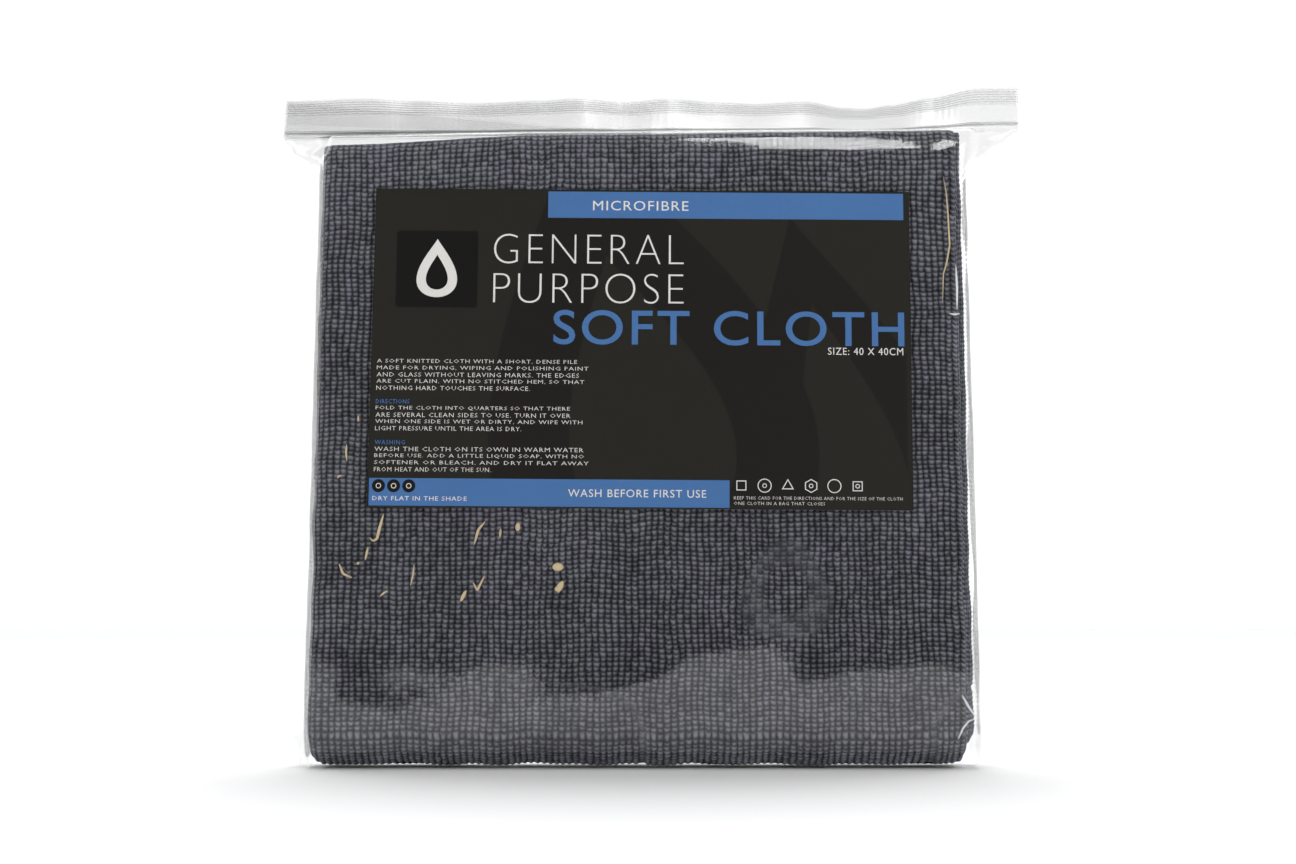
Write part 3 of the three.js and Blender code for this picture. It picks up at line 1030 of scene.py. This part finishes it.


# ---- creases in the film as thin ridges on its front, coloured as painted glints: painted reflections of the lamps

paintedGoldGlints = [  # (points (x, height), width) of each
    ([(-76.7, 74.5), (-77.8, 70.3), (-78.5, 67.1), (-79.7, 66.4), (-80.7, 67.5)], 0.9),
    ([(-81.1, 64.7), (-81.5, 62.8), (-81.9, 60.8)], 0.7),
    ([(-83.7, 60.3), (-83.9, 59.9), (-84.3, 59.6)], 0.8),
    ([(-89.6, 59.8), (-88.3, 56.8), (-85.6, 55.6)], 0.7),
    ([(-75.1, 51.9), (-76.2, 51.2), (-77.3, 50.2)], 0.6),
    ([(-67.4, 59.5), (-67.7, 56.4), (-68.4, 53.2)], 0.5),
    ([(-46.6, 72.3), (-48.6, 69.8), (-49.8, 65.4)], 0.8),
    ([(-42.0, 70.1), (-42.2, 67.6)], 0.7),
    ([(-36.9, 71.8), (-37.0, 69.4)], 1.5),
    ([(-50.0, 54.4), (-48.7, 51.9), (-46.6, 56.3)], 0.7),
    ([(-52.0, 51.9), (-53.0, 49.9), (-53.5, 48.7)], 1.1),
    ([(-26.6, 58.8), (-23.4, 58.8)], 2.6),
    ([(-25.8, 52.7), (-24.9, 52.0), (-23.5, 54.6)], 1.9),
    ([(-88.2, 95.2), (-88.3, 92.5), (-88.0, 90.2)], 0.6),
    ([(-90.7, 85.1), (-90.3, 85.8), (-89.4, 85.8)], 0.6),
    ([(-84.9, 103.8), (-84.9, 102.1)], 0.6),
    ([(91.5, 177.6), (92.3, 172.8), (92.7, 166.3), (93.0, 155.8), (91.9, 150.3), (90.9, 147.1),
      (90.4, 138.1)], 0.5),
]
paintedWhiteGlints = [
    ([(94.7, 150.0), (94.9, 143.0), (94.7, 136.0)], 0.7),
    ([(92.4, 134.9), (94.0, 134.5), (95.6, 134.9)], 0.6),
    ([(93.3, 21.5), (95.1, 18.2), (97.0, 15.3)], 0.7),
    ([(97.0, 14.7), (95.1, 14.1), (93.3, 12.0), (91.8, 8.8)], 0.6),
]
crease = {"rise": 0.22, "bite": 0.05, "step": 0.6, "sides": 6}


def layCrease(target, points, width):
    length = sum(math.dist(a, b) for a, b in zip(points, points[1:]))
    count = max(round(length / crease["step"]), 4)
    path = []
    for share in steps(0, length, count):
        for start, end in zip(points, points[1:]):
            run = math.dist(start, end)
            if share <= run + 1e-6:
                break
            share -= run
        path.append(Vector(start).lerp(Vector(end), min(share / run, 1)))
    bm, places = gridOf(crease["sides"], count)
    for vert, column, row in places:
        along = path[min(row + 1, count)] - path[max(row - 1, 0)]
        across = Vector((-along.y, along.x)).normalized()
        swell = max(math.sin(math.pi * (row + 0.25) / (count + 0.5)), 0) ** 0.6
        angle = 2 * math.pi * column / crease["sides"]
        point = path[row] + across * (width / 2 * swell * math.cos(angle))
        lift = crease["bite"] + crease["rise"] * swell * math.sin(angle)
        vert.co = (point.x, frontFilm(point.x, point.y) - lift, point.y)
    closeTube(bm)
    ridge = bpy.data.meshes.new("ridge")
    bm.to_mesh(ridge)
    bm.free()
    target.from_mesh(ridge)
    bpy.data.meshes.remove(ridge)


def makeCreases(name, lines, material):
    bm = bmesh.new()
    for points, width in lines:
        layCrease(bm, points, width)
    piece = meshPiece(name, bm, [material])
    return rideOn(piece, "bag")


# the crease colour is a painted glint, gold or white, standing in for lamps reflected in the creases
def paintedGlintMaterial(name, color):
    s = Shader(name)
    bright = s.node("BsdfPrincipled", Base_Color=(*color, 1), Roughness=0.3)
    return s.finish(bright.outputs[0])


# ---- stage: floor, lights, camera

stage = {
    "floorFront": -0.78, "floorBack": 4.0, "floorHalfWidth": 4.0, "floorTone": 0.82,
    "worldTop": 1.65, "worldTopFront": 0.05, "worldSide": 1.5, "worldFront": 0.03,
}


def makeFloor():
    bm = bmesh.new()
    bmesh.ops.create_grid(bm, x_segments=1, y_segments=1, size=0.5)
    width, depth = 2 * stage["floorHalfWidth"], stage["floorBack"] - stage["floorFront"]
    bmesh.ops.scale(bm, vec=(width, depth, 1), verts=bm.verts)
    bmesh.ops.translate(bm, vec=(0, (stage["floorBack"] + stage["floorFront"]) / 2, 0), verts=bm.verts)
    bmesh.ops.scale(bm, vec=(perMetre,) * 3, verts=bm.verts)
    s = Shader("pale floor")
    tone = stage["floorTone"]
    matte = s.node("BsdfDiffuse", Color=(tone, tone, tone, 1))
    floor = meshPiece("floor", bm, [s.finish(matte.outputs[0])])


def makeWorld():
    world = bpy.data.worlds.new("studio")
    bpy.context.scene.world = world
    world.use_nodes = True
    tree = world.node_tree
    tree.nodes.clear()
    out = tree.nodes.new("ShaderNodeOutputWorld")
    direction = tree.nodes.new("ShaderNodeTexCoord")
    parts = tree.nodes.new("ShaderNodeSeparateXYZ")
    tree.links.new(direction.outputs["Generated"], parts.inputs[0])

    def spread(socket, low, high, start, end):
        made = tree.nodes.new("ShaderNodeMapRange")
        made.interpolation_type = "SMOOTHSTEP"
        tree.links.new(socket, made.inputs["Value"])
        for name, value in (("From Min", low), ("From Max", high), ("To Min", start), ("To Max", end)):
            made.inputs[name].default_value = value
        return made.outputs[0]

    def join(operation, a, b):
        made = tree.nodes.new("ShaderNodeMath")
        made.operation = operation
        tree.links.new(a, made.inputs[0])
        tree.links.new(b, made.inputs[1])
        return made.outputs[0]

    overhead = spread(parts.outputs["Z"], 0.45, 0.85, 0, stage["worldTop"])
    overhead = join("MULTIPLY", overhead, spread(parts.outputs["Y"], -0.3, 0.3, stage["worldTopFront"], 1))
    behind = spread(parts.outputs["Y"], -0.2, 0.3, stage["worldFront"], stage["worldSide"])
    glow = join("ADD", overhead, behind)
    soft = tree.nodes.new("ShaderNodeBackground")
    tree.links.new(glow, soft.inputs["Strength"])
    soft.inputs["Color"].default_value = (0.985, 0.99, 1.0, 1)
    white = tree.nodes.new("ShaderNodeBackground")
    white.inputs["Color"].default_value = (1, 1, 1, 1)
    white.inputs["Strength"].default_value = 1.06
    path = tree.nodes.new("ShaderNodeLightPath")
    mixed = tree.nodes.new("ShaderNodeMixShader")
    tree.links.new(path.outputs["Is Camera Ray"], mixed.inputs[0])
    tree.links.new(soft.outputs[0], mixed.inputs[1])
    tree.links.new(white.outputs[0], mixed.inputs[2])
    tree.links.new(mixed.outputs[0], out.inputs["Surface"])


lamps = {
    "left_softbox": {"at": (-0.95, -0.75, 0.35), "size": (0.7, 0.9), "watts": 4.6, "color": (1, 0.985, 0.97)},
    "right_softbox": {"at": (0.95, -0.75, 0.35), "size": (0.7, 0.9), "watts": 4.6, "color": (0.98, 0.99, 1)},
    "top_strip": {"at": (0.17, -0.77, 1.1), "size": (0.17, 0.7), "watts": 4, "color": (1, 1, 1)},
}


def makeLamps():
    target = Vector((0, 0, 0.1))
    for name, lamp in lamps.items():
        light = bpy.data.lights.new(name, "AREA")
        light.shape = "RECTANGLE"
        light.size, light.size_y = lamp["size"]
        light.energy = lamp["watts"]
        light.color = lamp["color"]
        holder = bpy.data.objects.new(name, light)
        holder.location = lamp["at"]
        holder.rotation_euler = (target - holder.location).to_track_quat("-Z", "Y").to_euler()
        bpy.context.scene.collection.objects.link(holder)


view = {"at": (0.0016, -0.450, 0.045), "tiltUp": 7.0, "lens": 41.2}


def makeCamera():
    data = bpy.data.cameras.new("camera")
    data.lens = view["lens"]
    data.sensor_width = 36
    data.clip_start = 0.01
    holder = bpy.data.objects.new("camera", data)
    holder.location = view["at"]
    holder.rotation_euler = (math.radians(90 + view["tiltUp"]), 0, 0)
    bpy.context.scene.collection.objects.link(holder)
    bpy.context.scene.camera = holder
    bpy.context.scene.view_settings.view_transform = "Standard"


# ---- build

makeCamera()
makeFloor()
makeWorld()
makeLamps()
print("stage ready")

knit = knitMaterial()
makeCloth("cloth_front_half", -1, cloth["frontFoldX"], 5.1, knit, ("folded_cloth",))
makeCloth("cloth_back_half", 1, cloth["backFoldX"], 8.6, knit)
print("cloth ready")

clearFilm = filmMaterial("clear film", 0.985, 0.92, 0.045, 0.07)
bentFilm = filmMaterial("bent film", 0.985, 0.92, 0.1, 0.1)
looseFilm = filmMaterial("loose film", 0.98, 0.85, 0.1, 0.5, milk=0.03)
lipFilm = filmMaterial("zip strip film", 0.99, 0.8, 0.28, 0.25, milk=0.02)
# the grip ribs' film is coloured greyer than the strip: painted shade that draws the rib lines
ribFilm = filmMaterial("grip rib film", 0.91, 0.5, 0.28, 0.1, milk=0.18)
beadPlastic = beadMaterial()
seamFilm = seamMaterial()
makeFilmBody(clearFilm, seamFilm)
makeMouth(bentFilm, seamFilm, lipFilm, ribFilm, beadPlastic)
makeWeld("left_weld_fin", -1, weld["left"], looseFilm, ("left_side_weld",))
makeWeld("right_weld_fin", 1, weld["right"], looseFilm, ("right_side_weld",))
# the creases' gold and white are painted reflections of lamps
makeCreases("painted_gold_glint_creases", paintedGoldGlints, paintedGlintMaterial("painted warm glint", (0.62, 0.5, 0.3)))
makeCreases("painted_white_glint_creases", paintedWhiteGlints, paintedGlintMaterial("painted bright glint", (0.75, 0.76, 0.78)))
print("film ready")

cardFace = paperMaterial("label stock", (0.0136, 0.0128, 0.0092), 0.55)
cardRim = paperMaterial("label cut edge", (0.42, 0.41, 0.39), 0.7)
makeLabel(cardFace, cardRim)
makePrint({
    "print_shade": paperMaterial("shade print", (0.0092, 0.0075, 0.0058), 0.5),
    "print_black": paperMaterial("black print", (0.005, 0.0046, 0.0042), 0.45),
    "print_blue": paperMaterial("blue print", (0.062, 0.159, 0.37), 0.5),
    "print_white": paperMaterial("white print", (0.7, 0.69, 0.66), 0.5),
})
print("label ready")
